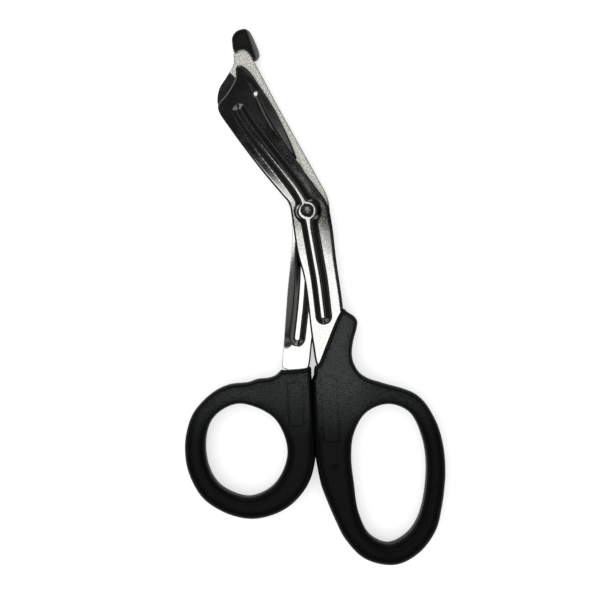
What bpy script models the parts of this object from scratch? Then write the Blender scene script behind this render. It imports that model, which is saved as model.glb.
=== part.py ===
"""Angled bandage shears: two pressed steel blades on one rivet, each with its tang set in a
moulded finger ring, and a blunt cap on the tip of the lower blade. They lie flat and closed,
blades towards +Y, with the upper blade on top. Metres, +Z up, origin under the middle."""

import math

import bmesh
import bpy
from mathutils import Vector
from mathutils.geometry import delaunay_2d_cdt, intersect_line_line_2d, intersect_point_line

MM = 0.001

# Steel sheet of both blades
SHEET_THICKNESS = 1.6 * MM
BLADE_GAP = 0.3 * MM
BLADE_REACH = 54.34 * MM
BLADE_CANT = math.radians(24.8)
HANDLE_DROP = 52.8 * MM
TANG_INSERT = 18.0 * MM

# Rib pressed outwards along each blade, and its round boss at the rivet
RIB_WIDTH = 5.2 * MM
RIB_CREST_WIDTH = 1.4 * MM
RIB_DEPTH = 0.9 * MM
BOSS_RADIUS = 4.4 * MM
BOSS_CREST_RADIUS = 2.8 * MM

# Ground cutting edges, on the outer face of each blade
EDGE_LAND = 0.35 * MM
GRIND_SLOPE = math.radians(19.5)

# Room left round the tangs and the cap's tongue, and under the rivet's heads
FIT_CLEARANCE = 0.3 * MM

# Rivet
PIVOT_CLEARANCE = 0.1 * MM
RIVET_RADIUS = 1.4 * MM
RIVET_HEAD_RADIUS = 2.2 * MM
RIVET_HEAD_HEIGHT = 0.9 * MM
RIVET_DIMPLE_RADIUS = 1.35 * MM
RIVET_DIMPLE_DEPTH = 0.45 * MM

# Blunt cap on the lower blade
CAP_THICKNESS = 5.4 * MM
CAP_ROUNDING = 1.2 * MM

# Moulded handles
HANDLE_THICKNESS = 9.0 * MM
HANDLE_ROUNDING = 1.8 * MM
HANDLE_GAP = 0.3 * MM
CLOSING_X = 1.47 * MM
CLOSING_SLOPE = math.radians(2.7)
CLOSING_TOP = 4.6 * MM
CLOSING_LENGTH = 26.0 * MM
RING_WIDTH = 6.6 * MM
THUMB_HOLE_WIDTH = 27.7 * MM
THUMB_HOLE_LENGTH = 31.5 * MM
THUMB_HOLE_DROP = 12.6 * MM
THUMB_SHANK_WIDTH = 9.4 * MM
FINGER_HOLE_WIDTH = 25.4 * MM
FINGER_HOLE_LENGTH = 47.2 * MM
FINGER_HOLE_DROP = 12.7 * MM
FINGER_SHANK_WIDTH = 11.8 * MM

# Heights, from the surface that the handles lie on
MID_Z = HANDLE_THICKNESS / 2
UPPER_Z = MID_Z + BLADE_GAP / 2
LOWER_Z = MID_Z - BLADE_GAP / 2 - SHEET_THICKNESS

CURVE_TOLERANCE = 0.035 * MM
TURNED_SEGMENTS = 36


# Places in the plan, with the rivet at (0, 0)


def near(x, y):
    """A point near the rivet, in millimetres."""
    return (x * MM, y * MM)


def canted(along, across):
    """A point along the canted blades, and to the right of the line from rivet to tip."""
    s = math.sin(BLADE_CANT)
    c = math.cos(BLADE_CANT)
    return (across * c - along * s, across * s + along * c)


def blade(share, across):
    """A point part of the way out to the tip, so many millimetres across."""
    return canted(share * BLADE_REACH, across * MM)


def tip(beyond, across):
    """A point that keeps its distance from the tip, in millimetres."""
    return canted(BLADE_REACH + beyond * MM, across * MM)


def tang(share, x):
    """A point part of the way down to the handles."""
    return (x * MM, -share * HANDLE_DROP)


def grip(x, up):
    """A point that keeps its distance from the top of the handles, in millimetres."""
    return (x * MM, up * MM - HANDLE_DROP)


# Outlines of the blades, anticlockwise from the tip down the left side

UPPER_OUTLINE = [
    tip(0.0, 0.0), tip(-0.3, -1.5), tip(-2.7, -2.6), tip(-4.4, -4.1), tip(-7.4, -8.5),
    tip(-9.3, -12.2), tip(-11.0, -13.0), blade(0.66, -11.95), blade(0.35, -8.35), blade(0.15, -5.4),
    near(-6.1, 2.4), near(-5.2, -2.0), tang(0.27, -3.3), tang(0.41, -1.3), tang(0.50, -0.4),
    tang(0.62, 0.4), grip(1.35, 11.5), grip(2.0, 7.0), grip(3.1, 0.8), grip(4.6, -1.5), grip(5.1, -3.2),
    (6.0 * MM, -HANDLE_DROP - TANG_INSERT + 1.2 * MM), (7.0 * MM, -HANDLE_DROP - TANG_INSERT),
    (10.4 * MM, -HANDLE_DROP - TANG_INSERT), (11.4 * MM, -HANDLE_DROP - TANG_INSERT + 1.2 * MM),
    grip(12.2, 0.0), grip(12.5, 16.0), tang(0.576, 11.9), tang(0.32, 9.95),
    near(8.45, -4.5), near(6.9, 2.2), blade(0.12, 5.9), blade(0.25, 4.55), blade(0.45, 4.8),
    blade(0.65, 4.55), tip(-13.5, 3.9), tip(-8.2, 3.0), tip(-4.0, 2.35), tip(-1.1, 1.15),
]

LOWER_OUTLINE = [
    tip(8.7, 3.9), tip(8.0, 2.9), tip(6.5, 2.1), tip(4.7, 1.2), tip(4.5, 0.5),
    tip(4.6, -0.15), tip(2.1, -1.25), tip(0.7, -2.5), tip(-0.45, -4.1), tip(-2.2, -6.75),
    tip(-3.9, -9.35), tip(-6.6, -11.45), tip(-9.0, -12.35), tip(-12.0, -11.9), blade(0.45, -8.6),
    blade(0.13, -4.8), near(-5.5, 0.5), tang(0.17, -5.0), tang(0.52, -6.6), grip(-7.9, 7.0),
    grip(-8.3, -0.2), grip(-7.9, -0.8), grip(-6.8, -1.2), grip(-6.5, -3.0),
    (-5.1 * MM, -HANDLE_DROP - TANG_INSERT + 1.2 * MM), (-4.1 * MM, -HANDLE_DROP - TANG_INSERT),
    (-1.5 * MM, -HANDLE_DROP - TANG_INSERT), (-0.6 * MM, -HANDLE_DROP - TANG_INSERT + 1.2 * MM),
    grip(-0.9, -3.0), grip(-0.6, -1.4), grip(0.5, -0.8), grip(1.0, 0.9), tang(0.83, 1.9),
    tang(0.57, 4.2), tang(0.27, 6.7), near(7.7, -2.5), near(7.7, 1.0), near(6.85, 5.0),
    blade(0.16, 7.95), blade(0.50, 6.6), blade(0.71, 5.8), tip(-4.1, 5.2), tip(-0.6, 5.0),
    tip(3.4, 4.9), tip(7.0, 4.85), tip(8.5, 4.6),
]

# Lines along which the grinding starts, from the heel to the tip
UPPER_GRIND = [blade(0.275, 4.5), blade(0.36, 2.9), blade(0.52, 1.6), blade(0.66, 0.95), tip(-12.0, 0.9),
               tip(-7.5, 0.1), tip(-3.5, -0.6), tip(-0.3, -0.9)]
LOWER_GRIND = [blade(0.14, -4.8), blade(0.24, -3.6), blade(0.45, -5.4), tip(-12.0, -8.9),
               tip(-7.5, -8.7), tip(-3.0, -6.2), tip(-0.6, -4.3)]

# Middle lines of the ribs, through the rivet
UPPER_RIB = [blade(0.735, -6.75), blade(0.63, -6.05), blade(0.45, -3.9), blade(0.27, -1.55), blade(0.13, 0.0),
             near(0.0, 0.6), near(1.0, -5.5), tang(0.32, 3.0), tang(0.45, 4.2), tang(0.68, 5.7)]
LOWER_RIB = [blade(0.56, -0.4), blade(0.36, 0.0), blade(0.13, 0.5), near(0.0, 0.6), near(-0.9, -5.5),
             tang(0.26, -1.8), tang(0.58, -2.8), tang(0.82, -3.6)]

# The cap, anticlockwise from its lower left corner along its curved mouth
CAP_OUTLINE = [
    tip(5.3, 0.2), tip(4.9, 0.7), tip(4.75, 1.6), tip(4.4, 3.3), tip(3.0, 4.3), tip(0.9, 4.8),
    tip(-0.3, 5.3), tip(-0.25, 6.4), tip(0.45, 7.5), tip(1.5, 7.85), tip(4.3, 8.05), tip(7.6, 8.05),
    tip(9.3, 7.8), tip(10.4, 6.85), tip(10.95, 5.0), tip(10.9, 3.7), tip(10.4, 2.5), tip(9.4, 1.4),
    tip(7.7, 0.72), tip(6.1, 0.22),
]

# Finger holes, as shares of half the width and half the length, anticlockwise from the top
THUMB_HOLE = [(-0.14, 1.0), (-0.59, 0.87), (-0.885, 0.59), (-1.0, 0.11), (-0.885, -0.44), (-0.59, -0.79),
              (0.06, -1.0), (0.59, -0.81), (0.88, -0.47), (1.0, -0.04), (0.88, 0.41), (0.59, 0.755)]
FINGER_HOLE = [(0.0, 1.0), (-0.60, 0.88), (-0.93, 0.58), (-1.0, 0.25), (-0.93, -0.13), (-0.80, -0.56),
               (-0.50, -0.88), (0.0, -1.0), (0.50, -0.86), (0.82, -0.58), (1.0, 0.02), (0.90, 0.50), (0.55, 0.88)]

# What the rings carry beyond the ring width, in millimetres, by the angle seen from the hole
THUMB_RING = [(92, 0.9), (106, 0.3), (122, 0.0), (142, 0.0), (162, 0.2), (184, 0.4), (206, 0.4), (230, 0.5),
              (254, 0.5), (274, 0.8), (290, 1.5), (306, 2.2), (322, 2.8), (337, 3.0)]
FINGER_RING = [(186, 4.6), (198, 4.2), (214, 3.2), (232, 1.7), (246, 1.0), (259, 0.8), (272, 0.7), (285, 0.7),
               (301, 0.5), (322, -0.1), (345, -0.2), (5, -0.2), (34, -0.3), (57, -0.4), (74, -0.4)]

# Collars of the handles
THUMB_COLLAR = [grip(1.5, -2.2), grip(1.45, -0.8), grip(1.05, -0.1), grip(0.2, -0.6), grip(-7.5, -1.35),
                grip(-8.7, -1.25), grip(-9.3, -1.85), grip(-10.7, -3.1), grip(-13.0, -3.9), grip(-16.7, -4.3)]
FINGER_COLLAR_RIGHT = [grip(25.2, -5.5), grip(20.8, -4.1), grip(17.7, -2.0), grip(15.7, 1.5), grip(15.2, 4.5),
                       grip(15.6, 8.4), grip(16.8, 13.0), grip(17.0, 15.3), grip(15.9, 17.0),
                       grip(13.6, 18.5), grip(12.4, 19.5)]
FINGER_COLLAR_MOUTH = [grip(11.5, 18.6), grip(9.7, 15.2), grip(6.4, 7.0), grip(3.7, 0.6), grip(2.9, 0.1),
                       grip(2.5, -0.6), grip(2.3, -2.9)]


# Curves


def through(points, closed=True):
    """Centripetal curve through the points, with nine steps between neighbours."""
    p = [Vector(q) for q in points]
    n = len(p)
    curve = []
    for i in range(n if closed else n - 1):
        if closed:
            a, b, c, d = (p[(i + k) % n] for k in (-1, 0, 1, 2))
        else:
            b, c = p[i], p[i + 1]
            a = p[i - 1] if i > 0 else b * 2 - c
            d = p[i + 2] if i + 2 < n else c * 2 - b
        ta = 0.0
        tb = ta + math.sqrt((b - a).length)
        tc = tb + math.sqrt((c - b).length)
        td = tc + math.sqrt((d - c).length)
        for k in range(9):
            t = tb + (tc - tb) * k / 9
            ab = a * ((tb - t) / (tb - ta)) + b * ((t - ta) / (tb - ta))
            bc = b * ((tc - t) / (tc - tb)) + c * ((t - tb) / (tc - tb))
            cd = c * ((td - t) / (td - tc)) + d * ((t - tc) / (td - tc))
            left = ab * ((tc - t) / (tc - ta)) + bc * ((t - ta) / (tc - ta))
            right = bc * ((td - t) / (td - tb)) + cd * ((t - tb) / (td - tb))
            curve.append(left * ((tc - t) / (tc - tb)) + right * ((t - tb) / (tc - tb)))
    if not closed:
        curve.append(p[-1])
    return curve


def thinned(chain, tolerance):
    """Drops the points of an open chain that lie within the tolerance of a straight run."""
    if len(chain) < 3:
        return list(chain)
    worst = 0.0
    where = 0
    for i in range(1, len(chain) - 1):
        foot, share = intersect_point_line(chain[i], chain[0], chain[-1])
        off = (chain[i] - foot.to_2d()).length
        if share < 0.0 or share > 1.0:
            off = min((chain[i] - chain[0]).length, (chain[i] - chain[-1]).length)
        if off > worst:
            worst, where = off, i
    if worst <= tolerance:
        return [chain[0], chain[-1]]
    return thinned(chain[: where + 1], tolerance)[:-1] + thinned(chain[where:], tolerance)


def outline(points):
    """Closed smooth outline, with points only as close as its curves need."""
    curve = through(points)
    half = max(range(len(curve)), key=lambda i: (curve[i] - curve[0]).length)
    first = thinned(curve[: half + 1], CURVE_TOLERANCE)
    second = thinned(curve[half:] + curve[:1], CURVE_TOLERANCE)
    return first[:-1] + second[:-1]


def normals(loop):
    """Mitred normals to the left of a closed loop, which is the side its material is on."""
    result = []
    for i, p in enumerate(loop):
        before = (p - loop[i - 1]).normalized()
        after = (loop[(i + 1) % len(loop)] - p).normalized()
        mean = Vector((-(before.y + after.y), before.x + after.x)).normalized()
        lean = max(0.4, mean.dot(Vector((-after.y, after.x))))
        result.append(mean / lean)
    return result


def offset(loop, distance):
    """The loop moved into its material, or out of it by a negative distance."""
    return [p + n * distance for p, n in zip(loop, normals(loop))]


def crossings(loops):
    """The edges at which closed loops cross themselves or each other, as loop and point numbers."""
    edges = [(r, i, loop[i - 1], b) for r, loop in enumerate(loops) for i, b in enumerate(loop)]
    found = set()
    for k, (r, i, a, b) in enumerate(edges):
        for s, j, c, d in edges[k + 1:]:
            touching = r == s and abs(i - j) in (1, len(loops[r]) - 1)
            if not touching and intersect_line_line_2d(a, b, c, d):
                found |= {(r, i), (s, j)}
    return found


def roundings(loops, radius):
    """Rounding at each point of the loops, smaller where a corner or a wall leaves less room."""
    across = [normals(loop) for loop in loops]
    widths = []
    for loop, ring in zip(loops, across):
        widths.append([])
        for p, n in zip(loop, ring):
            depths = [((q - p).length_squared, (q - p).dot(n)) for other in loops for q in other]
            widths[-1].append(min([radius] + [0.45 * far / deep for far, deep in depths if deep > 1e-7]))
    crossed = True
    while crossed:
        for loop, row in zip(loops, widths):
            n = len(loop)
            for i in list(range(2 * n)) + list(range(2 * n, 0, -1)):
                k = i % n
                for j in (k - 1, (k + 1) % n):
                    row[k] = min(row[k], row[j] + 0.8 * (loop[k] - loop[j]).length)
        moved = [[p + n * w for p, n, w in zip(*parts)] for parts in zip(loops, across, widths)]
        crossed = crossings(moved)
        for r, i in crossed:
            widths[r][i] *= 0.85
            widths[r][i - 1] *= 0.85
    return widths


def inside(point, loops):
    """Whether the point is in the region between closed loops."""
    odd = False
    for loop in loops:
        for i, b in enumerate(loop):
            a = loop[i - 1]
            if (a.y > point.y) != (b.y > point.y):
                if point.x < a.x + (b.x - a.x) * (point.y - a.y) / (b.y - a.y):
                    odd = not odd
    return odd


def triangles(loops, lines=()):
    """Fills the region between the loops, with edges along the extra lines."""
    points = []
    edges = []
    for chain, closed in [(loop, True) for loop in loops] + list(lines):
        start = len(points)
        points += chain
        last = len(chain) if closed else len(chain) - 1
        edges += [(start + i, start + (i + 1) % len(chain)) for i in range(last)]
    made, _, faces, sources, _, _ = delaunay_2d_cdt(points, edges, [], 0, 1e-9)
    kept = []
    for f in faces:
        middle = (made[f[0]] + made[f[1]] + made[f[2]]) / 3
        if inside(middle, loops):
            kept.append(tuple(f))
    return made, kept, sources


# Bodies


def as_object(name, bm, surface, parent):
    """Turns the mesh into an object of its own, smooth but for its sharp edges."""
    bmesh.ops.recalc_face_normals(bm, faces=bm.faces)
    mesh = bpy.data.meshes.new(name)
    bm.to_mesh(mesh)
    bm.free()
    mesh.materials.append(surface)
    mesh.shade_smooth()
    mesh.set_sharp_from_angle(angle=math.radians(35))
    body = bpy.data.objects.new(name, mesh)
    bpy.context.scene.collection.objects.link(body)
    body.parent = parent
    return body


def rounded_plate(name, loops, bottom, height, radius, steps, surface, parent):
    """A plate of one or more loops, with rounded edges all round both faces."""
    bm = bmesh.new()
    rings = []
    for loop, widths in zip(loops, roundings(loops, radius)):
        across = normals(loop)
        quarter = [math.pi / 2 * k / steps for k in range(steps + 1)]
        levels = []
        for a in quarter:
            levels.append((1 - math.sin(a), 1 - math.cos(a), 0.0))
        for a in reversed(quarter):
            levels.append((1 - math.sin(a), -(1 - math.cos(a)), height))
        ring = []
        for share, rise, base in levels:
            ring.append([bm.verts.new((*(p + n * w * share), bottom + base + w * rise))
                         for p, n, w in zip(loop, across, widths)])
        rings.append(ring)
        for below, above in zip(ring, ring[1:]):
            for i in range(len(loop)):
                j = (i + 1) % len(loop)
                bm.faces.new((below[i], below[j], above[j], above[i]))
    for level, flip in ((0, True), (-1, False)):
        flat = [v for ring in rings for v in ring[level]]
        made, kept, sources = triangles([[v.co.to_2d() for v in ring[level]] for ring in rings])
        for f in kept:
            corners = [flat[sources[k][0]] for k in f]
            bm.faces.new(corners[::-1] if flip else corners)
    return as_object(name, bm, surface, parent)


def slot_cutter(name, loop, bottom, top, parent):
    """A plain prism that clears the room for a sheet in a moulding."""
    bm = bmesh.new()
    face = bm.faces.new([bm.verts.new((p.x, p.y, bottom)) for p in loop])
    grown = bmesh.ops.extrude_face_region(bm, geom=[face])
    bmesh.ops.translate(bm, vec=(0, 0, top - bottom),
                        verts=[v for v in grown["geom"] if isinstance(v, bmesh.types.BMVert)])
    cutter = as_object(name, bm, None, parent)
    cutter.hide_render = True
    cutter.display_type = "WIRE"
    return cutter


def cut(body, cutter):
    """Takes the cutter's shape out of the body."""
    change = body.modifiers.new("slot", "BOOLEAN")
    change.operation = "DIFFERENCE"
    change.solver = "EXACT"
    change.object = cutter


def turned(name, profile, surface, parent):
    """A body turned about the rivet's axis from (radius, height) points, bottom to top."""
    bm = bmesh.new()
    rings = []
    for r, z in profile:
        if r == 0.0:
            rings.append([bm.verts.new((0.0, 0.0, z))])
            continue
        rings.append([bm.verts.new((r * math.cos(math.tau * k / TURNED_SEGMENTS),
                                    r * math.sin(math.tau * k / TURNED_SEGMENTS), z))
                      for k in range(TURNED_SEGMENTS)])
    for a, b in zip(rings, rings[1:]):
        for k in range(TURNED_SEGMENTS):
            j = (k + 1) % TURNED_SEGMENTS
            if len(a) == 1:
                bm.faces.new((a[0], b[j], b[k]))
            elif len(b) == 1:
                bm.faces.new((a[k], a[j], b[0]))
            else:
                bm.faces.new((a[k], a[j], b[j], b[k]))
    return as_object(name, bm, surface, parent)


# Blades


class Rib:
    """A rib along a middle line that swells to a round boss at the rivet."""

    def __init__(self, points):
        self.line = through(points, closed=False)
        self.run = [0.0]
        for a, b in zip(self.line, self.line[1:]):
            self.run.append(self.run[-1] + (b - a).length)
        at = min(range(len(self.line)), key=lambda i: self.line[i].length)
        self.rivet = self.run[at]

    def half(self, run, width, radius):
        """Half width at a distance along the line, eased into the boss."""
        s = run - self.rivet
        boss = math.sqrt(max(0.0, radius * radius - s * s))
        ease = RIB_WIDTH / 5
        return (width / 2 + boss + math.hypot(width / 2 - boss, ease)) / 2

    def halves(self, run):
        base = self.half(run, RIB_WIDTH, BOSS_RADIUS)
        crest = self.half(run, RIB_CREST_WIDTH, BOSS_CREST_RADIUS)
        return base, min(crest, base * 0.8)

    def height(self, p):
        """How far the sheet is pressed out at a point."""
        best = None
        for i, (a, b) in enumerate(zip(self.line, self.line[1:])):
            share = max(0.0, min(1.0, (p - a).dot(b - a) / (b - a).length_squared))
            away = (p - a.lerp(b, share)).length
            if best is None or away < best[0]:
                best = (away, self.run[i] + share * (b - a).length)
        base, crest = self.halves(best[1])
        rise = max(0.0, min(1.0, (base - best[0]) / (base - crest)))
        return RIB_DEPTH * rise * rise * (3 - 2 * rise)

    def contour(self, rise):
        """Closed line round the rib where it has risen by a share of its slope."""
        left = []
        right = []
        for i, p in enumerate(self.line):
            a = self.line[max(i - 1, 0)]
            b = self.line[min(i + 1, len(self.line) - 1)]
            side = Vector((-(b - a).y, (b - a).x)).normalized()
            base, crest = self.halves(self.run[i])
            width = base + (crest - base) * rise
            left.append(p + side * width)
            right.append(p - side * width)
        loop = left + self.cap(-1, left[-1]) + right[::-1] + self.cap(0, right[0])
        half = len(loop) // 2
        first = thinned(loop[: half + 1], CURVE_TOLERANCE)
        second = thinned(loop[half:] + loop[:1], CURVE_TOLERANCE)
        return first[:-1] + second[:-1]

    def cap(self, end, start):
        """Half round end of a contour."""
        middle = self.line[end]
        arm = start - middle
        points = []
        for k in range(1, 10):
            a = -math.pi * k / 10
            points.append(middle + Vector((arm.x * math.cos(a) - arm.y * math.sin(a),
                                           arm.x * math.sin(a) + arm.y * math.cos(a))))
        return points


def ground_away(p, line, side):
    """Depth that the grinding takes off at a point beside its starting line."""
    best = None
    for i, (a, b) in enumerate(zip(line, line[1:])):
        share = (p - a).dot(b - a) / (b - a).length_squared
        ends = (i == 0 and share < 0) or (i == len(line) - 2 and share > 1)
        share = max(0.0, min(1.0, share))
        away = p - a.lerp(b, share)
        if best is None or away.length < best[0]:
            best = (away.length, (b - a).cross(away) * side, ends)
    if best[2] or best[1] <= 0.0:
        return 0.0
    return min(SHEET_THICKNESS - EDGE_LAND, best[0] * math.tan(GRIND_SLOPE))


def pressed_blade(name, points, rib_points, grind_points, edge_side, outward, surface, parent):
    """A blade of sheet with its rib, rivet hole and ground edge, outer face up or down."""
    rim = outline(points)
    hole_radius = RIVET_RADIUS + PIVOT_CLEARANCE
    hole = [Vector((hole_radius * math.cos(a), -hole_radius * math.sin(a)))
            for a in (math.tau * k / TURNED_SEGMENTS for k in range(TURNED_SEGMENTS))]
    rib = Rib(rib_points)
    grind = thinned(through(grind_points, closed=False), CURVE_TOLERANCE)
    for end in (0, -1):
        grind[end] = min(rim, key=lambda p: (p - grind[end]).length).copy()
    lines = [(rib.contour(rise), True) for rise in (0.0, 0.3, 0.7, 1.0)]
    made, kept, _ = triangles([rim, hole], lines + [(grind, False)])
    bm = bmesh.new()
    inner = []
    outer = []
    base = UPPER_Z if outward > 0 else LOWER_Z + SHEET_THICKNESS
    for p in made:
        out = rib.height(p)
        thick = SHEET_THICKNESS - ground_away(p, grind, edge_side)
        inner.append(bm.verts.new((p.x, p.y, base + outward * out)))
        outer.append(bm.verts.new((p.x, p.y, base + outward * (out + thick))))
    sides = {}
    for a, b, c in kept:
        bm.faces.new((outer[a], outer[b], outer[c]))
        bm.faces.new((inner[c], inner[b], inner[a]))
        for side in ((a, b), (b, c), (c, a)):
            sides[side] = True
    for a, b in sides:
        if (b, a) not in sides:
            bm.faces.new((inner[a], inner[b], outer[b], outer[a]))
    for v in [v for v in bm.verts if not v.link_faces]:
        bm.verts.remove(v)
    return as_object(name, bm, surface, parent), rim


# Handles


def closing_x(y):
    """The line on which the two handles meet."""
    return CLOSING_X - (y + HANDLE_DROP) * math.tan(CLOSING_SLOPE)


def finger_hole(shape, width, length, drop, shank, side):
    """A finger hole beside the closing line, and its middle."""
    y = -HANDLE_DROP - drop - length / 2
    x = closing_x(y) + side * (HANDLE_GAP / 2 + shank + width / 2)
    loop = outline([(x + u * width / 2, y + v * length / 2) for u, v in shape])
    return loop, Vector((x, y))


def beside(loop, middle, degrees, extra):
    """A point on the outer edge of the ring, seen from the hole's middle at an angle."""
    ray = Vector((math.cos(math.radians(degrees)), math.sin(math.radians(degrees))))
    i = max(range(len(loop)), key=lambda k: (loop[k] - middle).normalized().dot(ray))
    a, b, c = loop[i - 1], loop[i], loop[(i + 1) % len(loop)]
    for p, q in ((a, b), (b, c)):
        if (p - middle).cross(ray) * (q - middle).cross(ray) <= 0:
            share = (p - middle).cross(ray) / ((p - middle).cross(ray) - (q - middle).cross(ray))
            on = p.lerp(q, share)
            around = normals(loop)
            k = loop.index(p)
            out = -around[k].lerp(around[(k + 1) % len(loop)], share).normalized()
            return on - out * -(RING_WIDTH + extra * MM)
    return b


def handle(name, hole, middle, ring, before, after, side, rim, sheet_z, surface, parent):
    """A moulded ring and collar with a slot for the blade's tang."""
    closing = []
    for share in (0.0, 0.03, 0.5, 0.97, 1.0):
        y = -HANDLE_DROP - CLOSING_TOP - share * CLOSING_LENGTH
        closing.append((closing_x(y) + side * HANDLE_GAP / 2, y))
    ringed = [beside(hole, middle, degrees, extra) for degrees, extra in ring]
    if side < 0:
        points = before + ringed + closing[::-1]
    else:
        points = closing + ringed + after
    outer = outline(points)
    body = rounded_plate(name, [outer, hole[::-1]], 0.0, HANDLE_THICKNESS, HANDLE_ROUNDING, 3,
                         surface, parent)
    insert = [p for p in rim if p.y < -0.45 * HANDLE_DROP]
    room = offset(insert, -FIT_CLEARANCE)
    cutter = slot_cutter(name + "_slot", room, sheet_z - FIT_CLEARANCE,
                         sheet_z + SHEET_THICKNESS + FIT_CLEARANCE, parent)
    cut(body, cutter)
    return body


def surface(name, colour, metallic, roughness):
    """A plain material."""
    made = bpy.data.materials.new(name)
    made.use_nodes = True
    shader = made.node_tree.nodes["Principled BSDF"]
    shader.inputs["Base Color"].default_value = (*colour, 1.0)
    shader.inputs["Metallic"].default_value = metallic
    shader.inputs["Roughness"].default_value = roughness
    return made


def main():
    for old in list(bpy.data.objects):
        bpy.data.objects.remove(old, do_unlink=True)

    lower_half = bpy.data.objects.new("lower_half", None)
    upper_half = bpy.data.objects.new("upper_half", None)
    for half in (lower_half, upper_half):
        bpy.context.scene.collection.objects.link(half)

    polished = surface("polished_steel", (0.66, 0.66, 0.64), 1.0, 0.14)
    satin = surface("satin_steel", (0.62, 0.61, 0.57), 1.0, 0.34)
    rivet_steel = surface("rivet_steel", (0.50, 0.50, 0.48), 1.0, 0.30)
    thumb_black = surface("black_moulding_thumb", (0.018, 0.018, 0.018), 0.0, 0.50)
    finger_black = surface("black_moulding_finger", (0.018, 0.018, 0.018), 0.0, 0.50)
    cap_black = surface("black_cap", (0.022, 0.022, 0.020), 0.0, 0.42)

    upper, upper_rim = pressed_blade("upper_blade", UPPER_OUTLINE, UPPER_RIB, UPPER_GRIND, -1, 1,
                                     polished, upper_half)
    lower, lower_rim = pressed_blade("lower_blade", LOWER_OUTLINE, LOWER_RIB, LOWER_GRIND, 1, -1,
                                     satin, lower_half)

    hole, middle = finger_hole(THUMB_HOLE, THUMB_HOLE_WIDTH, THUMB_HOLE_LENGTH, THUMB_HOLE_DROP,
                               THUMB_SHANK_WIDTH, -1)
    thumb = handle("thumb_handle", hole, middle, THUMB_RING, THUMB_COLLAR, [], -1, lower_rim,
                   LOWER_Z, thumb_black, lower_half)
    hole, middle = finger_hole(FINGER_HOLE, FINGER_HOLE_WIDTH, FINGER_HOLE_LENGTH, FINGER_HOLE_DROP,
                               FINGER_SHANK_WIDTH, 1)
    finger = handle("finger_handle", hole, middle, FINGER_RING, [],
                    FINGER_COLLAR_RIGHT + FINGER_COLLAR_MOUTH, 1, upper_rim,
                    UPPER_Z, finger_black, upper_half)

    cap_z = LOWER_Z + SHEET_THICKNESS / 2 - CAP_THICKNESS / 2
    cap = rounded_plate("tip_guard", [outline(CAP_OUTLINE)], cap_z, CAP_THICKNESS, CAP_ROUNDING, 3,
                        cap_black, lower_half)
    outwards = Vector(canted(1.0, 0.0))
    tongue = [p for p in lower_rim if p.dot(outwards) > BLADE_REACH - CAP_THICKNESS]
    cap_slot = slot_cutter("tip_guard_slot", offset(tongue, -FIT_CLEARANCE), LOWER_Z - FIT_CLEARANCE,
                           LOWER_Z + SHEET_THICKNESS + FIT_CLEARANCE, lower_half)
    cut(cap, cap_slot)

    under = LOWER_Z - RIB_DEPTH - FIT_CLEARANCE
    over = UPPER_Z + SHEET_THICKNESS + RIB_DEPTH + FIT_CLEARANCE
    top = over + RIVET_HEAD_HEIGHT
    wide = RIVET_HEAD_RADIUS
    lip = (wide - RIVET_DIMPLE_RADIUS) / 2
    profile = [(0.0, under - RIVET_HEAD_HEIGHT), (0.55 * wide, under - 0.92 * RIVET_HEAD_HEIGHT),
               (0.85 * wide, under - 0.66 * RIVET_HEAD_HEIGHT), (wide, under - 0.25 * RIVET_HEAD_HEIGHT),
               (wide, under), (RIVET_RADIUS, under), (RIVET_RADIUS, over), (wide, over),
               (wide, over + 0.35 * RIVET_HEAD_HEIGHT)]
    for k in range(1, 6):
        a = math.pi * k / 6
        profile.append((wide - lip + lip * math.cos(a), top - RIVET_HEAD_HEIGHT * 0.65 * (1 - math.sin(a))))
    profile += [(RIVET_DIMPLE_RADIUS, top - RIVET_DIMPLE_DEPTH), (0.0, top - RIVET_DIMPLE_DEPTH)]
    turned("pivot_rivet", profile, rivet_steel, lower_half)

    shown = [upper, lower, thumb, finger, cap]
    xs = [v.co.x for body in shown for v in body.data.vertices]
    ys = [v.co.y for body in shown for v in body.data.vertices]
    for half in (lower_half, upper_half):
        half.location = (-(min(xs) + max(xs)) / 2, -(min(ys) + max(ys)) / 2, 0.0)


main()
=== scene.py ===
"""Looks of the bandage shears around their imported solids: finely pressed and ground steel blades,
a peened rivet, grained black mouldings, studio surroundings and the photograph's camera."""

import math

import bmesh
import bpy
import numpy as np
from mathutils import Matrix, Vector
from mathutils.geometry import delaunay_2d_cdt


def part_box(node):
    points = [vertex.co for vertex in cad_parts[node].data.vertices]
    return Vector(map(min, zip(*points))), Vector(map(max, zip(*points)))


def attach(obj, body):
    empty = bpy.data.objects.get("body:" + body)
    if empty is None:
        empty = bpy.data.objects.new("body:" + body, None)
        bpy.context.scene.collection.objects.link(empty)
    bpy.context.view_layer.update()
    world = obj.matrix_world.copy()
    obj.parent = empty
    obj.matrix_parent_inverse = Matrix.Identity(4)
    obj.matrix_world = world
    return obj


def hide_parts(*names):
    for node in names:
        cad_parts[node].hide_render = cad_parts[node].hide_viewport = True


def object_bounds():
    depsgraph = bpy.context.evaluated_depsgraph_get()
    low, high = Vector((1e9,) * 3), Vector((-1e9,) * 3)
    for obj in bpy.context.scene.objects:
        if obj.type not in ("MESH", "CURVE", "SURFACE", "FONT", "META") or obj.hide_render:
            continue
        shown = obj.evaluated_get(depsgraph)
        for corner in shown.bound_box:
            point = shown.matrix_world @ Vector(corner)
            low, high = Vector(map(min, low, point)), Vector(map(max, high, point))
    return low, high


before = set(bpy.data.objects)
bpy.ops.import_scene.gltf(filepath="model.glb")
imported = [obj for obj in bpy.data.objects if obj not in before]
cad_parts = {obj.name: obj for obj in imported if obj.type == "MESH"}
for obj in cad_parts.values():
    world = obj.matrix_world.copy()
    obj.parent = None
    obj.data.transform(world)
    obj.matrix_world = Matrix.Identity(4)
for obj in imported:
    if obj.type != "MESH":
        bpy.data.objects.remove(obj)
cad_low, cad_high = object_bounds()

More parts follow.
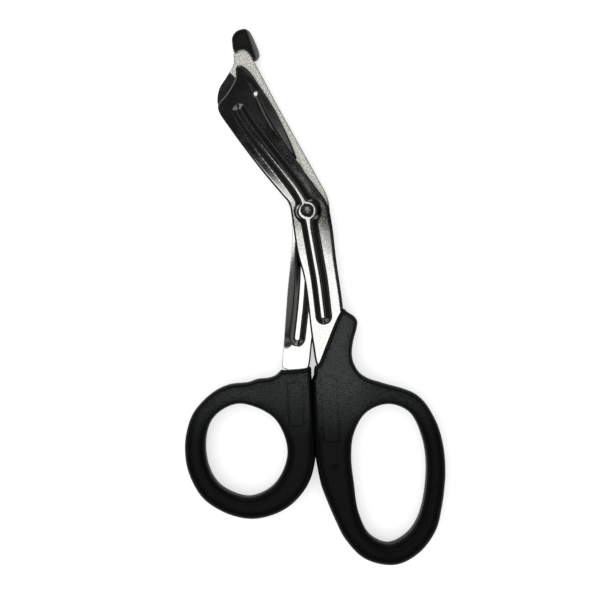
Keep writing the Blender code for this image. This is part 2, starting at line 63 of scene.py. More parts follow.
MM = 0.001

rivet_low, rivet_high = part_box("pivot_rivet")
PIVOT = np.array([(rivet_low.x + rivet_high.x) / 2, (rivet_low.y + rivet_high.y) / 2])

# Sheet of both blades, as in the solids
SHEET_THICKNESS = 1.6 * MM
BLADE_REACH = 54.34 * MM
BLADE_CANT = math.radians(24.8)
HANDLE_DROP = 52.8 * MM
TANG_INSERT = 18.0 * MM
UPPER_Z = 4.65 * MM
LOWER_Z = 2.75 * MM
RIB_WIDTH = 5.2 * MM
RIB_DEPTH = 0.9 * MM
BOSS_RADIUS = 4.4 * MM
EDGE_LAND = 0.35 * MM
PIVOT_HOLE_RADIUS = 1.5 * MM

# Rivet, with shank and heads as in the solids
RIVET_RADIUS = 1.4 * MM
RIVET_HEAD_RADIUS = 2.2 * MM
RIVET_SEAT = 0.1 * MM
RIVET_SIDE = 0.45 * MM
RIVET_BROW_RADIUS = 1.38 * MM
RIVET_LIP = 0.16 * MM
RIVET_HOLLOW = 0.30 * MM

# Moulded handles, as in the solids but with a closer gap between them
HANDLE_THICKNESS = 9.0 * MM
HANDLE_GAP = 0.01 * MM
CLOSING_X = 1.47 * MM
CLOSING_SLOPE = math.radians(2.7)
CLOSING_TOP = 4.6 * MM
CLOSING_LENGTH = 26.0 * MM
RING_WIDTH = 6.6 * MM
THUMB_HOLE_SIZE = (27.7 * MM, 31.5 * MM)
THUMB_HOLE_DROP = 12.6 * MM
THUMB_SHANK_WIDTH = 9.4 * MM
FINGER_HOLE_SIZE = (25.4 * MM, 47.2 * MM)
FINGER_HOLE_DROP = 12.7 * MM
FINGER_SHANK_WIDTH = 11.8 * MM

# What only the looks have: crests, rolled edges, the slope beside the lower rib, honed edges
UPPER_CREST_WIDTH = 0.75 * MM
LOWER_CREST_WIDTH = 1.3 * MM
BOSS_CREST_RADIUS = 3.0 * MM
EDGE_WIDTH = 0.90 * MM
EDGE_DROP = 0.30 * MM
BACK_EDGE_WIDTH = 0.42 * MM
BACK_EDGE_DROP = 0.16 * MM
CREST_SHIFT = 0.34 * MM
CREST_FLARE = 0.5 * MM
CREST_SOFTNESS = 0.6 * MM
RIB_ROUNDINGS = (0.12, 0.22)
SKIRT_WIDTH = 10.0 * MM
SKIRT_LEFT = 0.35 * MM
SKIRT_RIGHT = 0.086 * MM
LEAD_WIDTH = 0.9 * MM
LEAD_SLOPE = math.radians(4.6)
STEP_WIDTH = 0.45 * MM
STEP_SLOPE = math.radians(29.0)
BEVEL_SLOPES = (math.radians(12.5), math.radians(16.5))
HANDLE_ROUNDING = 2.1 * MM
UNDER_ROUNDING = (2.6 * MM, 4.2 * MM)
PANEL_DEPTH = 0.10 * MM
PANEL_WALL = 0.16 * MM

# Where the forms fade in or out, beyond the rivet towards the tip (flares: to both sides)
LEAD_STARTS = (24.0 * MM, 28.0 * MM)
LEAD_ENDS = (44.0 * MM, 41.0 * MM)
STEP_FADES = (41.0 * MM, 45.0 * MM)
STEP_FADE = 0.8
BEVEL_STEEPENS = (42.0 * MM, 20.0 * MM)
CREST_SHIFTS = (4.0 * MM, -8.0 * MM)
CREST_FLARES = (6.5 * MM, 2.5 * MM)
SKIRT_STARTS = (2.0 * MM, -34.0 * MM)

# Where the finishes, the painted shade and the painted sheen fade in or out, beyond the rivet,
# right of it, or above the floor or sheet
# Painted shade on the upper blade: the flat round its boss darkened, a dark reflection painted into
# the steel's colour
PAINTED_SHADE_STARTS = (6.0 * MM, -1.0 * MM)
PAINTED_SHADE_EASES = (-3.0 * MM, -9.0 * MM)
PAINTED_SHADE_ENDS = (-17.0 * MM, -11.0 * MM)
PAINTED_SHADE_LEVEL = (0.5 * MM, 0.2 * MM)
SATIN_STARTS = (-2.0 * MM, 8.0 * MM)
SATIN_SIDE = (-1.0 * MM, 1.0 * MM)
SATIN_TIP = (20.7 * MM, 21.1 * MM)
SATIN_LEVEL = (-0.10 * MM, -0.02 * MM)
# Radius from the rivet's middle where its painted dark reflection takes over from the hollow's
# mottle
BROW_STARTS = (1.15 * MM, 1.3 * MM)
# Painted sheen on the mouldings: paler on the flat tops near the blades, fading towards the rings,
# the rims and the sides
PAINTED_SHEEN_STARTS = (-80.0 * MM, -52.0 * MM)
PAINTED_SHEEN_LEVEL = (8.74 * MM, 8.89 * MM)
PAINTED_SHEEN_SIDE = (-2.0 * MM, 2.0 * MM)
PAINTED_SHEEN_FAR_SIDE = (26.0 * MM, 16.0 * MM)

# Fineness of the meshes
CURVE_STEPS = 16
BLADE_GRID = 0.30 * MM
HANDLE_GRID = 0.55 * MM
RIM_STEP = 0.30 * MM
HANDLE_RIM_STEP = 0.42 * MM
BLADE_INSETS = [EDGE_WIDTH * k for k in (0.04, 0.12, 0.26, 0.46, 0.70, 1.0)]
HOLE_SEGMENTS = 40
NICK_SEGMENTS = 24
RIVET_SEGMENTS = 72

# Grain of the materials
STEEL_CLOUDS = 160.0
STEEL_GRAIN = 2300.0
STEEL_GRAIN_DEPTH = 1.2e-6
PEENED_GRAIN = 1500.0
PEENED_GRAIN_DEPTH = 1e-5
PAINTED_SHEEN_CLOUDS = 90.0
MOULDING_ROUGHNESS = (0.25, 0.35)

# Light, and what the steel mirrors of the studio
SOFT_LIGHT = 1.7
LOW_LIGHT = 0.15
SIDE_LIGHT = -0.7
FLOOR_COLOUR = 0.66
FLOOR_GLOW = 0.53
FLOOR_REACH = 3.0
STRIP_LIGHT = 1.45
PANE_LIGHT = 0.10
WALL_LIGHT = 0.26
BACK_LIGHT = 0.18
CORNER_LIGHT = 0.20
SURROUNDINGS = ((0.0, 0.008), (0.30, 0.010), (0.345, 0.026), (0.37, 0.05), (0.39, 0.08),
                (0.415, 0.11), (0.44, 0.11), (0.47, 0.014), (0.70, 0.012), (0.76, 0.003),
                (0.81, 0.003), (0.88, 0.6), (1.0, 0.9))

# Camera, straight above
CAMERA_X = -5.13 * MM
CAMERA_Y = -1.25 * MM
CAMERA_HEIGHT = 370.0 * MM
VIEW_WIDTH = 204.0 * MM
SENSOR_WIDTH = 36.0


# Places in the plan, with the rivet at (0, 0)


def near(x, y):
    return (x * MM, y * MM)


def canted(along, across):
    s = math.sin(BLADE_CANT)
    c = math.cos(BLADE_CANT)
    return (across * c - along * s, across * s + along * c)


def blade(share, across):
    return canted(share * BLADE_REACH, across * MM)


def tip(beyond, across):
    return canted(BLADE_REACH + beyond * MM, across * MM)


def tang(share, x):
    return (x * MM, -share * HANDLE_DROP)


def grip(x, up):
    return (x * MM, up * MM - HANDLE_DROP)


def tang_end(x, up):
    return (x * MM, up * MM - HANDLE_DROP - TANG_INSERT)


# Outlines of the blades, anticlockwise from the tip
UPPER_OUTLINE = [
    tip(0.0, 0.0), tip(-0.3, -1.5), tip(-2.7, -2.6), tip(-4.4, -4.1), tip(-7.4, -8.5),
    tip(-9.3, -12.2), tip(-11.0, -13.0), blade(0.66, -11.95), blade(0.35, -8.35), blade(0.15, -5.4),
    near(-6.1, 2.4), near(-5.2, -2.0), tang(0.27, -3.3), tang(0.41, -1.3), tang(0.50, -0.4),
    tang(0.62, 0.4), grip(1.35, 11.5), grip(2.0, 7.0), grip(3.1, 0.8), grip(4.6, -1.5),
    grip(5.1, -3.2), tang_end(6.0, 1.2), tang_end(7.0, 0.0), tang_end(10.4, 0.0),
    tang_end(11.4, 1.2), grip(12.2, 0.0), grip(12.5, 16.0), tang(0.576, 11.9), tang(0.32, 9.95),
    near(8.45, -4.5), near(6.9, 2.2), blade(0.12, 5.9), blade(0.25, 4.55), blade(0.45, 4.8),
    blade(0.65, 4.55), tip(-13.5, 3.9), tip(-8.2, 3.0), tip(-4.0, 2.35), tip(-1.1, 1.15),
]

LOWER_OUTLINE = [
    tip(8.7, 3.9), tip(8.0, 2.9), tip(6.5, 2.1), tip(4.7, 1.2), tip(4.5, 0.5), tip(4.6, -0.15),
    tip(2.1, -1.25), tip(0.7, -2.5), tip(-0.45, -4.1), tip(-2.2, -6.75), tip(-3.9, -9.35),
    tip(-6.6, -11.45), tip(-9.0, -12.35), tip(-12.0, -11.9), blade(0.45, -8.6), blade(0.13, -4.8),
    near(-5.5, 0.5), tang(0.17, -5.0), tang(0.52, -6.6), grip(-7.9, 7.0), grip(-8.3, -0.2),
    grip(-7.9, -0.8), grip(-6.8, -1.2), grip(-6.5, -3.0), tang_end(-5.1, 1.2), tang_end(-4.1, 0.0),
    tang_end(-1.5, 0.0), tang_end(-0.6, 1.2), grip(-0.9, -3.0), grip(-0.6, -1.4), grip(0.5, -0.8),
    grip(1.0, 0.9), tang(0.83, 1.9), tang(0.57, 4.2), tang(0.27, 6.7), near(7.7, -2.5),
    near(7.7, 1.0), near(6.85, 5.0), blade(0.16, 7.95), blade(0.50, 6.6), blade(0.71, 5.8),
    tip(-4.1, 5.2), tip(-0.6, 5.0), tip(3.4, 4.9), tip(7.0, 4.85), tip(8.5, 4.6),
]

# Where the grinding starts, from the heel to the tip
UPPER_GRIND = [
    blade(0.275, 4.5), blade(0.36, 2.9), blade(0.52, 1.6), blade(0.66, 0.95), tip(-12.0, 0.9),
    tip(-7.5, 0.1), tip(-3.5, -0.6), tip(-0.3, -0.9),
]
LOWER_GRIND = [
    blade(0.14, -4.8), blade(0.24, -3.6), blade(0.45, -5.4), tip(-12.0, -8.9), tip(-7.5, -8.7),
    tip(-3.0, -6.2), tip(-0.6, -4.3),
]

# Middle lines of the ribs, from the blade's end to the tang's
UPPER_RIB = [
    blade(0.735, -6.75), blade(0.63, -6.05), blade(0.45, -3.9), blade(0.27, -1.55),
    blade(0.13, 0.0), near(0.0, 0.6), near(1.0, -5.5), tang(0.32, 3.0), tang(0.45, 4.2),
    tang(0.68, 5.7),
]
LOWER_RIB = [
    blade(0.56, -0.4), blade(0.36, 0.0), blade(0.13, 0.5), near(0.0, 0.6), near(-0.7, -5.5),
    tang(0.26, -1.2), tang(0.447, -1.5), tang(0.543, -1.8), tang(0.64, -2.24), tang(0.82, -3.3),
]

# Finger holes, as shares of their half width and half length
THUMB_HOLE = [
    (-0.14, 1.0), (-0.59, 0.87), (-0.885, 0.59), (-1.0, 0.11), (-0.885, -0.44), (-0.59, -0.79),
    (0.06, -1.0), (0.59, -0.81), (0.88, -0.47), (1.0, -0.04), (0.88, 0.41), (0.59, 0.755),
]
FINGER_HOLE = [
    (0.0, 1.0), (-0.60, 0.88), (-0.93, 0.58), (-1.0, 0.25), (-0.93, -0.13), (-0.80, -0.56),
    (-0.50, -0.88), (0.0, -1.0), (0.50, -0.86), (0.82, -0.58), (1.0, 0.02), (0.90, 0.50),
    (0.55, 0.88),
]

# Rings round the holes, as degrees and millimetres beyond their width
THUMB_RING = [
    (92, 0.9), (106, 0.3), (122, 0.0), (142, 0.0), (162, 0.2), (184, 0.4), (206, 0.4), (230, 0.5),
    (254, 0.5), (274, 0.8), (290, 1.5), (306, 2.2), (322, 2.8), (337, 3.0),
]
FINGER_RING = [
    (186, 4.6), (198, 4.2), (214, 3.2), (232, 1.7), (246, 1.0), (259, 0.8), (272, 0.7), (285, 0.7),
    (301, 0.5), (322, -0.1), (345, -0.2), (5, -0.2), (34, -0.3), (57, -0.4), (74, -0.4),
]

# Rims of the handles between the rings and the closing line
THUMB_COLLAR = [
    grip(1.5, -2.2), grip(1.45, -0.8), grip(1.05, -0.1), grip(0.2, -0.6), grip(-7.5, -1.35),
    grip(-8.7, -1.25), grip(-9.3, -1.85), grip(-10.7, -3.1), grip(-13.0, -3.9), grip(-16.7, -4.3),
]
FINGER_COLLAR = [
    grip(25.2, -5.5), grip(20.8, -4.1), grip(17.7, -2.0), grip(15.7, 1.5), grip(15.2, 4.5),
    grip(15.6, 8.4), grip(16.8, 13.0), grip(17.0, 15.3), grip(15.9, 17.0), grip(13.6, 18.5),
    grip(12.4, 19.5), grip(11.5, 18.6), grip(9.7, 15.2), grip(6.4, 7.0), grip(3.7, 0.6),
    grip(2.9, 0.1), grip(2.5, -0.6), grip(2.3, -2.9),
]

# Bare panels sunk in the handles, as corners
THUMB_PANEL = [near(-6.6, -58.0), near(-6.0, -72.8), near(-1.0, -72.6), near(-1.3, -57.9)]
FINGER_PANEL = [near(4.6, -56.0), near(5.6, -78.0), near(10.9, -78.0), near(10.0, -56.2)]
GATE_MARK = near(9.7, -86.8)
GATE_RADIUS = 0.8 * MM
GATE_DEPTH = 0.14 * MM
GATE_RIM = 0.5 * MM
BLADE_NICK = near(-17.35, 39.3)
NICK_RADIUS = 1.0 * MM
NICK_RIM = 0.25 * MM
NICK_SLOPE = 0.0875
NICK_WAY = (-0.39, 0.92)

# Tip guard, and the line where its right-hand facet starts
CAP_THICKNESS = 5.4 * MM
CAP_ROUNDING = 1.2 * MM
CAP_OUTLINE = [
    tip(5.3, 0.2), tip(4.9, 0.7), tip(4.75, 1.6), tip(4.4, 3.3), tip(3.0, 4.3), tip(0.9, 4.8),
    tip(-0.3, 5.3), tip(-0.25, 6.4), tip(0.45, 7.5), tip(1.5, 7.85), tip(4.3, 8.05), tip(7.6, 8.05),
    tip(9.3, 7.8), tip(10.4, 6.85), tip(10.95, 5.0), tip(10.9, 3.7), tip(10.4, 2.5), tip(9.4, 1.4),
    tip(7.7, 0.72), tip(6.1, 0.22),
]
CAP_FACET = (near(-20.9, 61.2), near(-18.05, 52.6))
CAP_FACET_SLOPE = math.radians(29.0)
CAP_FACET_DROP = 1.3 * MM


# Curves, as arrays of points


def through(points, closed=True):
    """Centripetal curve through the points."""
    p = np.array(points, float)
    n = len(p)
    curve = []
    for i in range(n if closed else n - 1):
        if closed:
            a, b, c, d = (p[(i + k) % n] for k in (-1, 0, 1, 2))
        else:
            b, c = p[i], p[i + 1]
            a = p[i - 1] if i > 0 else b * 2 - c
            d = p[i + 2] if i + 2 < n else c * 2 - b
        ta = 0.0
        tb = ta + math.sqrt(np.linalg.norm(b - a))
        tc = tb + math.sqrt(np.linalg.norm(c - b))
        td = tc + math.sqrt(np.linalg.norm(d - c))
        for k in range(CURVE_STEPS):
            t = tb + (tc - tb) * k / CURVE_STEPS
            ab = a * ((tb - t) / (tb - ta)) + b * ((t - ta) / (tb - ta))
            bc = b * ((tc - t) / (tc - tb)) + c * ((t - tb) / (tc - tb))
            cd = c * ((td - t) / (td - tc)) + d * ((t - tc) / (td - tc))
            left = ab * ((tc - t) / (tc - ta)) + bc * ((t - ta) / (tc - ta))
            right = bc * ((td - t) / (td - tb)) + cd * ((t - tb) / (td - tb))
            curve.append(left * ((tc - t) / (tc - tb)) + right * ((t - tb) / (tc - tb)))
    if not closed:
        curve.append(p[-1])
    return np.array(curve)


def even(curve, step, closed=True):
    """The curve with points at equal distances, close to the step."""
    chain = np.vstack([curve, curve[:1]]) if closed else curve
    run = np.concatenate([[0.0], np.cumsum(np.linalg.norm(np.diff(chain, axis=0), axis=1))])
    count = max(8, round(run[-1] / step))
    at = np.linspace(0.0, run[-1], count + 1)
    made = np.column_stack([np.interp(at, run, chain[:, k]) for k in (0, 1)])
    return made[:-1] if closed else made


def circle(radius, segments):
    """Points round a circle about (0, 0), clockwise for a negative number."""
    turns = np.linspace(0.0, math.copysign(math.tau, segments), abs(segments), endpoint=False)
    return radius * np.column_stack([np.cos(turns), np.sin(turns)])


def normals(loop):
    """Mitred normals to the left of a closed loop."""
    before = loop - np.roll(loop, 1, axis=0)
    after = np.roll(loop, -1, axis=0) - loop
    before /= np.linalg.norm(before, axis=1)[:, None]
    after /= np.linalg.norm(after, axis=1)[:, None]
    mean = before + after
    mean = np.column_stack([-mean[:, 1], mean[:, 0]])
    mean /= np.linalg.norm(mean, axis=1)[:, None]
    lean = np.maximum(0.4, mean[:, 1] * after[:, 0] - mean[:, 0] * after[:, 1])
    return mean / lean[:, None]


def to_line(points, a, b):
    """For each point the distance to the nearest segment, that segment, and the share along it."""
    best = np.full(len(points), np.inf)
    which = np.zeros(len(points), int)
    share = np.zeros(len(points))
    along = b - a
    length = np.maximum((along ** 2).sum(1), 1e-18)
    for start in range(0, len(points), 2000):
        p = points[start: start + 2000, None, :]
        t = np.clip(((p - a) * along).sum(2) / length, 0.0, 1.0)
        off = np.linalg.norm(p - a - t[:, :, None] * along, axis=2)
        k = off.argmin(1)
        rows = np.arange(len(k))
        best[start: start + 2000] = off[rows, k]
        which[start: start + 2000] = k
        share[start: start + 2000] = t[rows, k]
    return best, which, share


def to_loops(points, loops):
    """Distance of each point to the nearest of the closed loops."""
    a = np.vstack(loops)
    b = np.vstack([np.roll(loop, -1, axis=0) for loop in loops])
    return to_line(points, a, b)[0]


def inside(points, loops):
    """Whether each point is in the region between closed loops."""
    odd = np.zeros(len(points), bool)
    for loop in loops:
        a = np.roll(loop, 1, axis=0)
        for p, q in zip(a, loop):
            if p[1] == q[1]:
                continue
            spans = (p[1] > points[:, 1]) != (q[1] > points[:, 1])
            cut = p[0] + (q[0] - p[0]) * (points[:, 1] - p[1]) / (q[1] - p[1])
            odd ^= spans & (points[:, 0] < cut)
    return odd


def meshed(loops, insets, grid, lines=()):
    """Points and triangles of the region, close behind its rim and even elsewhere.
    The lines are (points, closed) and become edges. The loops' points come first."""
    fixed = np.vstack(loops)
    band = []
    for depth in insets:
        for loop in loops:
            moved = loop + normals(loop) * depth
            band.append(moved[to_loops(moved, loops) > 0.96 * depth])
    low = fixed.min(0)
    high = fixed.max(0)
    rows = np.arange(low[1], high[1], grid * math.sqrt(3) / 2)
    cells = []
    for k, y in enumerate(rows):
        x = np.arange(low[0] + (k % 2) * grid / 2, high[0], grid)
        cells.append(np.column_stack([x, np.full(len(x), y)]))
    cells = np.vstack(cells)
    cells = cells[inside(cells, loops)]
    cells = cells[to_loops(cells, loops) > max(insets) + 0.45 * grid]
    extra = np.vstack(band + [cells])
    for chain, closed in lines:
        ends = np.roll(chain, -1, axis=0) if closed else chain[1:]
        starts = chain if closed else chain[:-1]
        extra = extra[to_line(extra, starts, ends)[0] > 0.3 * min(grid, RIM_STEP)]
    points = [fixed]
    edges = []
    start = 0
    for loop in loops:
        n = len(loop)
        edges += [(start + i, start + (i + 1) % n) for i in range(n)]
        start += n
    for chain, closed in lines:
        n = len(chain)
        edges += [(start + i, start + (i + 1) % n) for i in range(n if closed else n - 1)]
        points.append(chain)
        start += n
    points = np.vstack(points + [extra])
    made, _, faces, _, _, _ = delaunay_2d_cdt([Vector(p) for p in points], edges, [], 0, 1e-8)
    made = np.array([(v.x, v.y) for v in made])
    faces = np.array([f for f in faces if len(f) == 3], int)
    faces = faces[inside(made[faces].mean(1), loops)]
    return made, faces


def placed(name, mesh, angle, material, body):
    """Shows the mesh in place of the solid it is named after, riding on the solid's body."""
    mesh.materials.append(material)
    mesh.shade_smooth()
    mesh.set_sharp_from_angle(angle=math.radians(angle))
    piece = bpy.data.objects.new(name, mesh)
    bpy.context.scene.collection.objects.link(piece)
    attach(piece, body)
    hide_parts(name.replace("_fine", ""))


def solid(name, points, faces, top, bottom, material, body):
    """A closed piece from two height fields over one triangulation, inside the solids' box."""
    used = np.unique(faces)
    number = np.full(len(points), -1)
    number[used] = np.arange(len(used))
    faces = number[faces]
    points = points[used]
    n = len(points)
    sides = {}
    for a, b, c in faces.tolist():
        for side in ((a, b), (b, c), (c, a)):
            sides[side] = True
    walls = [(a + n, b + n, b, a) for a, b in sides if (b, a) not in sides]
    over = np.column_stack([points + PIVOT, top[used]])
    under = np.column_stack([points + PIVOT, bottom[used]])
    places = np.vstack([over, under])
    places = np.clip(places, np.array(cad_low), np.array(cad_high))
    mesh = bpy.data.meshes.new(name)
    mesh.from_pydata(places.tolist(), [], faces.tolist() + (faces[:, ::-1] + n).tolist() + walls)
    placed(name, mesh, 50, material, body)


def rim_insets(rounding, turns):
    """Distances behind a rim at these turns of its rounding, in degrees."""
    return [rounding * (1 - math.cos(math.radians(turn))) for turn in turns]


def rounded(depth, width, drop):
    """How far a rounded edge has dropped at a distance behind the rim."""
    off = np.clip(1.0 - depth / width, 0.0, 1.0)
    return drop * (1.0 - np.sqrt(1.0 - off * off))


def eased(u, foot=0.2, crest=0.2):
    """Rises from 0 to 1 at an even slope between a rounded foot and a rounded crest."""
    u = np.clip(u, 0.0, 1.0)
    v = 1.0 / (1.0 - foot / 2 - crest / 2)
    return np.where(u < foot, v * u * u / (2 * foot),
                    np.where(u < 1 - crest, v * (u - foot / 2), 1 - v * (1 - u) ** 2 / (2 * crest)))


def ramp(value, start, end):
    """Rises evenly from 0 to 1 between the two values."""
    return np.clip((value - start) / (end - start), 0.0, 1.0)


def smooth(value, start, end):
    """Rises smoothly from 0 to 1 between the two values."""
    t = ramp(value, start, end)
    return t * t * (3 - 2 * t)


# Blades


def rib_height(points, rib_points, crest_width, shift, skirt):
    """How far the sheet is pressed out at each point, and -1 left of the rib to 1 right of it."""
    line = through(rib_points, closed=False)
    run = np.concatenate([[0.0], np.cumsum(np.linalg.norm(np.diff(line, axis=0), axis=1))])
    rivet = run[np.linalg.norm(line, axis=1).argmin()]
    away, which, share = to_line(points, line[:-1], line[1:])
    s = run[which] + share * (run[which + 1] - run[which]) - rivet
    a = line[which]
    along = line[which + 1] - a
    cross = along[:, 0] * (points - a)[:, 1] - along[:, 1] * (points - a)[:, 0]
    right = cross / np.linalg.norm(along, axis=1) / np.maximum(away, 1e-9)

    def half(width, radius, soft):
        """Half width along the line, which swells to the boss at the rivet."""
        boss = np.sqrt(np.maximum(0.0, radius * radius - s * s))
        return (width / 2 + boss + np.hypot(width / 2 - boss, soft)) / 2

    base = half(RIB_WIDTH, BOSS_RADIUS, RIB_WIDTH / 5)
    flare = CREST_FLARE * smooth(np.abs(s), *CREST_FLARES)
    crest = half(crest_width + flare, BOSS_CREST_RADIUS, CREST_SOFTNESS)
    crest = np.minimum(crest, base * 0.8)
    dip = skirt * (SKIRT_LEFT + (SKIRT_RIGHT - SKIRT_LEFT) * (1 + right) / 2)
    beyond = np.clip(1.0 - (away - base) / SKIRT_WIDTH, 0.0, 1.0)
    slope = eased((base - away) / (base - crest + shift * right), *RIB_ROUNDINGS)
    return (RIB_DEPTH - dip) * slope + dip * beyond * beyond, right


def ground_away(points, line, side):
    """Depth that the grinding takes off at each point beside its starting line: a narrow honed
    lead before the line, a steep step behind it, and then the even bevel."""
    away, which, share = to_line(points, line[:-1], line[1:])
    a = line[which]
    b = line[which + 1]
    cross = (b - a)[:, 0] * (points - a)[:, 1] - (b - a)[:, 1] * (points - a)[:, 0]
    ends = ((which == 0) & (share == 0.0)) | ((which == len(line) - 2) & (share == 1.0))
    signed = np.where(ends, -1.0, np.where(cross * side > 0.0, away, -away))
    y = points[:, 1]
    middle = ramp(y, *LEAD_STARTS) * ramp(y, *LEAD_ENDS)
    lead = middle * math.tan(LEAD_SLOPE) * np.clip(signed + LEAD_WIDTH, 0.0, LEAD_WIDTH)
    shallow = 1.0 - STEP_FADE * ramp(y, *STEP_FADES)
    step = shallow * math.tan(STEP_SLOPE) * np.clip(signed, 0.0, STEP_WIDTH)
    slope = BEVEL_SLOPES[0] + (BEVEL_SLOPES[1] - BEVEL_SLOPES[0]) * ramp(y, *BEVEL_STEEPENS)
    bevel = np.tan(slope) * np.maximum(signed - STEP_WIDTH, 0.0)
    return np.minimum(SHEET_THICKNESS - EDGE_LAND, lead + step + bevel)


def rolled(depth, width, share):
    """How far a rim has rolled off at a distance behind it, where a share of the width does."""
    return share * np.clip(1.0 - depth / (width * share), 0.0, 1.0) ** 2


def pressed_blade(name, points, rib_points, grind_points, edge_side, upper, material, body):
    """A blade of sheet with its rib, rivet hole, ground edge and rounded rims."""
    rim = even(through(points), RIM_STEP)
    hole = circle(PIVOT_HOLE_RADIUS, -HOLE_SEGMENTS)
    grind = even(through(grind_points, closed=False), RIM_STEP, closed=False)
    for end in (0, -1):
        grind[end] = rim[np.linalg.norm(rim - grind[end], axis=1).argmin()]
    lines = [(grind, False)]
    if upper:
        lines.append((np.array(BLADE_NICK) + circle(NICK_RADIUS - NICK_RIM, NICK_SEGMENTS), True))
    made, faces = meshed([rim, hole], BLADE_INSETS, BLADE_GRID, lines)
    y = made[:, 1]
    if upper:
        shift = CREST_SHIFT * smooth(y, *CREST_SHIFTS)
        out, right = rib_height(made, rib_points, UPPER_CREST_WIDTH, shift, 0.0)
    else:
        out, right = rib_height(made, rib_points, LOWER_CREST_WIDTH, 0.0, smooth(y, *SKIRT_STARTS))
    thick = SHEET_THICKNESS - ground_away(made, grind, edge_side)
    depth = to_loops(made, [rim, hole])
    whole = np.minimum(1.0, thick / SHEET_THICKNESS * 1.2)
    outer = out + thick - EDGE_DROP * rolled(depth, EDGE_WIDTH, whole * (0.78 + 0.22 * right))
    share = whole * (0.12 + 0.88 * smooth(right, -0.6, 0.4))
    inner = out + BACK_EDGE_DROP * rolled(depth, BACK_EDGE_WIDTH, share)
    if upper:
        arm = made - np.array(BLADE_NICK)
        nick = SHEET_THICKNESS + NICK_SLOPE * (arm @ np.array(NICK_WAY) - NICK_RADIUS)
        outer += eased((NICK_RADIUS - np.linalg.norm(arm, axis=1)) / NICK_RIM) * (nick - outer)
        top, bottom = UPPER_Z + outer, UPPER_Z + inner
    else:
        top, bottom = LOWER_Z + SHEET_THICKNESS - inner, LOWER_Z + SHEET_THICKNESS - outer
    solid(name, made, faces, top, bottom, material, body)


def tip_guard(material):
    """The black cap over the lower tip, with rounded rims and a flat facet on its right."""
    rim = even(through(CAP_OUTLINE), RIM_STEP)
    insets = rim_insets(CAP_ROUNDING, (16, 30, 44, 58, 72, 84))
    start, end = (np.array(p) for p in CAP_FACET)
    way = (end - start) / np.linalg.norm(end - start)
    made, faces = meshed([rim], insets, BLADE_GRID)
    past = np.maximum(0.0, (made - start) @ np.array([-way[1], way[0]]))
    facet = CAP_FACET_DROP * (1 - np.exp(-past * math.tan(CAP_FACET_SLOPE) / CAP_FACET_DROP))
    drop = rounded(to_loops(made, [rim]), CAP_ROUNDING, CAP_ROUNDING)
    middle = LOWER_Z + SHEET_THICKNESS / 2
    solid("tip_guard_fine", made, faces, middle + CAP_THICKNESS / 2 - drop - facet,
          middle - CAP_THICKNESS / 2 + drop, material, "lower_half")


# Handles


def closing_x(y):
    """The line on which the two handles meet."""
    return CLOSING_X - (y + HANDLE_DROP) * math.tan(CLOSING_SLOPE)


def finger_hole(shape, size, drop, shank, side):
    """A finger hole beside the closing line, and its middle."""
    width, length = size
    y = -HANDLE_DROP - drop - length / 2
    x = closing_x(y) + side * (HANDLE_GAP / 2 + shank + width / 2)
    loop = through([(x + u * width / 2, y + v * length / 2) for u, v in shape])
    return loop, np.array([x, y])


def beside(loop, middle, degrees, extra):
    """A point on the outer edge of the ring, seen from the hole's middle at an angle."""
    ray = np.array([math.cos(math.radians(degrees)), math.sin(math.radians(degrees))])
    arms = loop - middle
    turn = arms[:, 0] * ray[1] - arms[:, 1] * ray[0]
    ahead = arms @ ray > 0
    after = np.roll(turn, -1)
    i = int(np.nonzero(ahead & (turn * after <= 0) & (turn != after))[0][0])
    share = turn[i] / (turn[i] - after[i])
    around = normals(loop)
    j = (i + 1) % len(loop)
    n = around[i] * (1 - share) + around[j] * share
    n /= np.linalg.norm(n)
    return loop[i] * (1 - share) + loop[j] * share - n * (RING_WIDTH + extra * MM)


def sunk(points, corners):
    """Share of the panel's depth at each point, full inside and easing out over its wall."""
    ring = np.array(corners)
    away = to_loops(points, [ring])
    signed = np.where(inside(points, [ring]), away, -away)
    return eased(signed / PANEL_WALL + 0.5)


def handle(name, hole, middle, ring, collar, side, panel, material, body):
    """A moulded ring and collar with rounded rims and a bare sunk panel."""
    closing = []
    for share in (0.0, 0.03, 0.5, 0.97, 1.0):
        y = -HANDLE_DROP - CLOSING_TOP - share * CLOSING_LENGTH
        closing.append((closing_x(y) + side * HANDLE_GAP / 2, y))
    ringed = [tuple(beside(hole, middle, degrees, extra)) for degrees, extra in ring]
    points = collar + ringed + closing[::-1] if side < 0 else closing + ringed + collar
    outer = even(through(points), HANDLE_RIM_STEP)
    inner = even(hole, HANDLE_RIM_STEP)[::-1]
    insets = rim_insets(HANDLE_ROUNDING, (12, 24, 36, 48, 60, 72, 82))
    corners = np.array(panel)
    lines = []
    for off in (-0.5, 0.5):
        lines.append((even(corners + normals(corners) * off * PANEL_WALL, RIM_STEP), True))
    made, faces = meshed([outer, inner], insets, HANDLE_GRID, lines)
    depth = to_loops(made, [outer, inner])
    top = HANDLE_THICKNESS - rounded(depth, HANDLE_ROUNDING, HANDLE_ROUNDING)
    top = top - PANEL_DEPTH * sunk(made, panel)
    if side > 0:
        away = np.linalg.norm(made - np.array(GATE_MARK), axis=1)
        top -= GATE_DEPTH * eased((GATE_RADIUS - away) / GATE_RIM, 0.3, 0.3)
    bottom = rounded(depth, *UNDER_ROUNDING)
    solid(name, made, faces, top, bottom, material, body)


